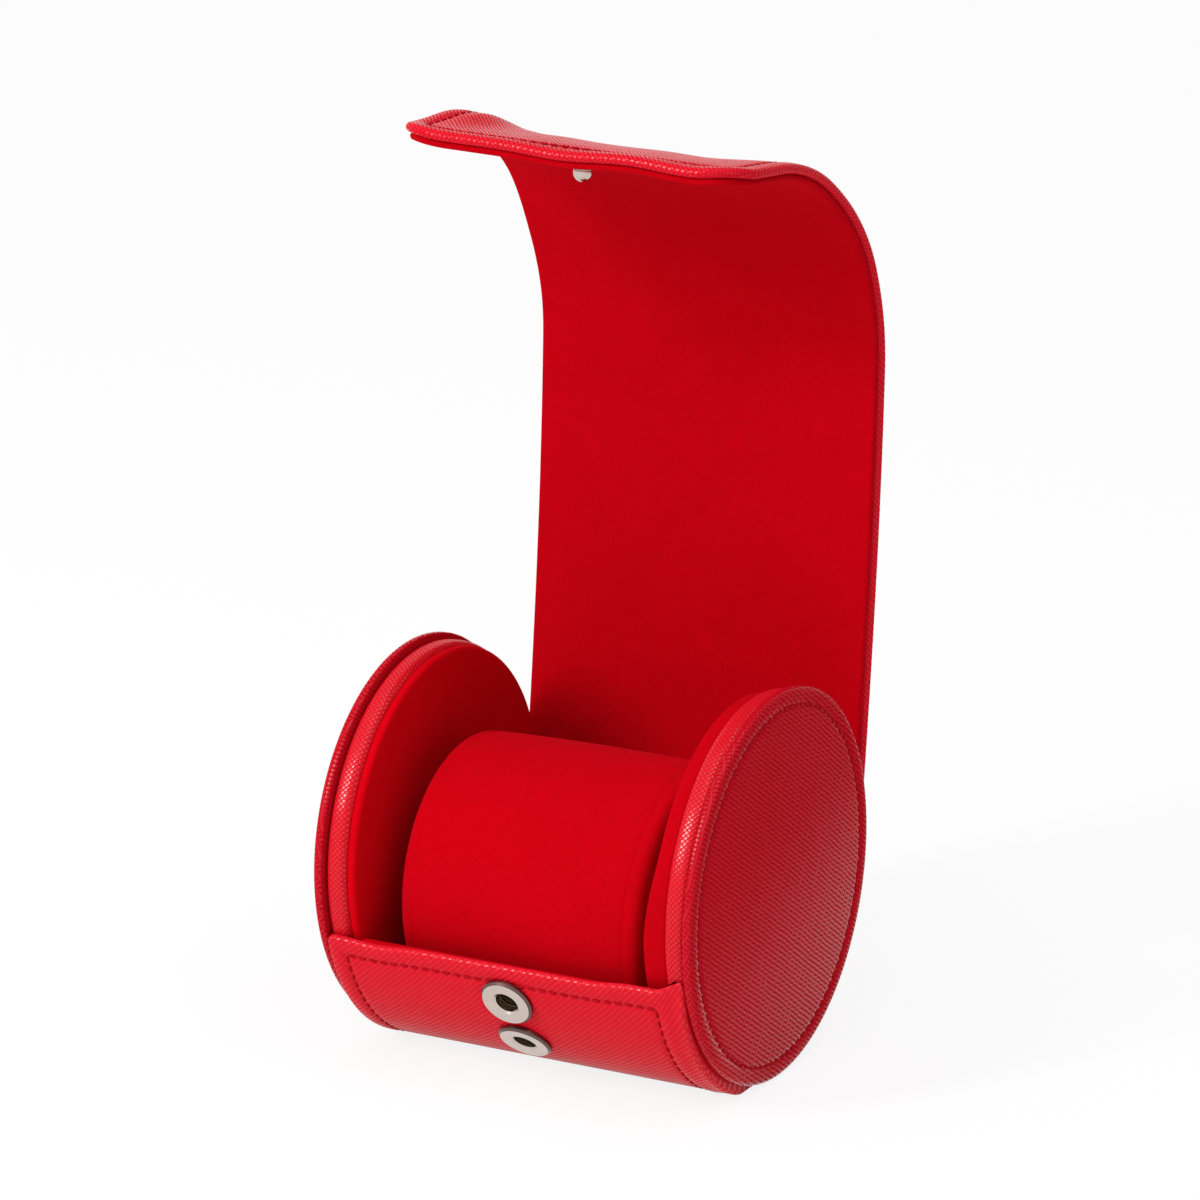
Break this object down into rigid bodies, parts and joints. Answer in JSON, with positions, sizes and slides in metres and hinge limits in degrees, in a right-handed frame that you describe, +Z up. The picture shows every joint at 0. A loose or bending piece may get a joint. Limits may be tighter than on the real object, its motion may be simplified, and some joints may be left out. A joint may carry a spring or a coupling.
{
  "type": "watch roll",
  "caption": "Single watch roll in red leather: round padded ends, a flap that folds over and snaps on the front wall, and a suede watch cushion that lifts out.",
  "frame": {"origin": "on the floor plane of the flat sole, straight under the roll's axis, in the middle of its length", "axes": "+X along the roll to the right seen from the front wall, +Y to the back where the flap is rooted, +Z up"},
  "size_m": [0.0828, 0.089, 0.1815],
  "materials": {
    "leather": "satin",
    "suede": "matte",
    "nickel": "polished",
    "board": "matte",
    "foam": "matte"
  },
  "bodies": {
    "case": {"face_leather_left": "leather", "face_board_left": "board", "rim_band_left": "leather", "rim_core_left": "foam", "inner_suede_left": "suede", "inner_board_left": "board", "face_leather_right": "leather", "face_board_right": "board", "rim_band_right": "leather", "rim_core_right": "foam", "inner_suede_right": "suede", "inner_board_right": "board", "wrap_skin": "leather", "front_padding": "foam", "back_padding": "foam", "wrap_board": "board", "wrap_lining": "suede", "snap_socket_upper": "nickel", "socket_spring_upper": "nickel", "socket_washer_upper": "nickel", "snap_socket_lower": "nickel", "socket_spring_lower": "nickel", "socket_washer_lower": "nickel"},
    "flap_panel_1": {"flap_leather_1": "leather", "flap_board_1": "board", "flap_lining_1": "suede"},
    "flap_panel_2": {"flap_leather_2": "leather", "flap_board_2": "board", "flap_lining_2": "suede"},
    "flap_panel_3": {"flap_leather_3": "leather", "flap_board_3": "board", "flap_lining_3": "suede"},
    "flap_panel_4": {"flap_leather_4": "leather", "flap_board_4": "board", "flap_lining_4": "suede"},
    "flap_panel_5": {"flap_leather_5": "leather", "flap_board_5": "board", "flap_lining_5": "suede"},
    "flap_curl_1": {"flap_leather_6": "leather", "flap_board_6": "board", "flap_lining_6": "suede"},
    "flap_curl_2": {"flap_leather_7": "leather", "flap_board_7": "board", "flap_lining_7": "suede"},
    "flap_tab": {"tab_leather": "leather", "tab_board": "board", "tab_lining": "suede", "stud_rivet": "nickel", "snap_stud": "nickel"},
    "cushion": {"cushion_sleeve": "suede", "cushion_foam": "foam", "cushion_cap_left": "suede", "cushion_cap_right": "suede"}
  },
  "joints": [
    {"name": "flap_fold", "type": "hinge", "parent": "case", "child": "flap_panel_1", "pos_m": [0, 0.0413, 0.0392], "axis": [1, 0, 0], "range_deg": [-4, 12.1]},
    {"name": "flap_bend_2", "type": "hinge", "parent": "flap_panel_1", "child": "flap_panel_2", "pos_m": [0, 0.04371, 0.05885], "axis": [1, 0, 0], "range_deg": [-10.85, 32.8]},
    {"name": "flap_bend_3", "type": "hinge", "parent": "flap_panel_2", "child": "flap_panel_3", "pos_m": [0, 0.04578, 0.07854], "axis": [1, 0, 0], "range_deg": [-9.34, 28.26]},
    {"name": "flap_bend_4", "type": "hinge", "parent": "flap_panel_3", "child": "flap_panel_4", "pos_m": [0, 0.04751, 0.09827], "axis": [1, 0, 0], "range_deg": [-8.15, 24.65]},
    {"name": "flap_bend_5", "type": "hinge", "parent": "flap_panel_4", "child": "flap_panel_5", "pos_m": [0, 0.04872, 0.11803], "axis": [1, 0, 0], "range_deg": [-7.77, 23.51]},
    {"name": "flap_bend_6", "type": "hinge", "parent": "flap_panel_5", "child": "flap_curl_1", "pos_m": [0, 0.04941, 0.13782], "axis": [1, 0, 0], "range_deg": [-0.79, 2.37]},
    {"name": "flap_twist", "type": "hinge", "parent": "flap_curl_1", "child": "flap_curl_2", "pos_m": [0, 0.03667, 0.16298], "axis": [0, -0.6334, 0.7738], "range_deg": [-0.99, 3]},
    {"name": "tab_press", "type": "hinge", "parent": "flap_curl_2", "child": "flap_tab", "pos_m": [-0.00044, 0.01337, 0.17825], "axis": [0.9986, -0.0405, -0.0331], "range_deg": [0, 14]},
    {"name": "cushion_lift", "type": "slide", "parent": "case", "child": "cushion", "axis": [0, 0, 1], "range_m": [0, 0.09]}
  ],
  "couplings": [
    {"joint": "flap_bend_2", "follows": "flap_fold", "ratio": 2.7107},
    {"joint": "flap_bend_3", "follows": "flap_fold", "ratio": 2.3355},
    {"joint": "flap_bend_4", "follows": "flap_fold", "ratio": 2.0372},
    {"joint": "flap_bend_5", "follows": "flap_fold", "ratio": 1.943},
    {"joint": "flap_bend_6", "follows": "flap_fold", "ratio": 0.19587},
    {"joint": "flap_twist", "follows": "flap_fold", "ratio": 0.24793}
  ]
}
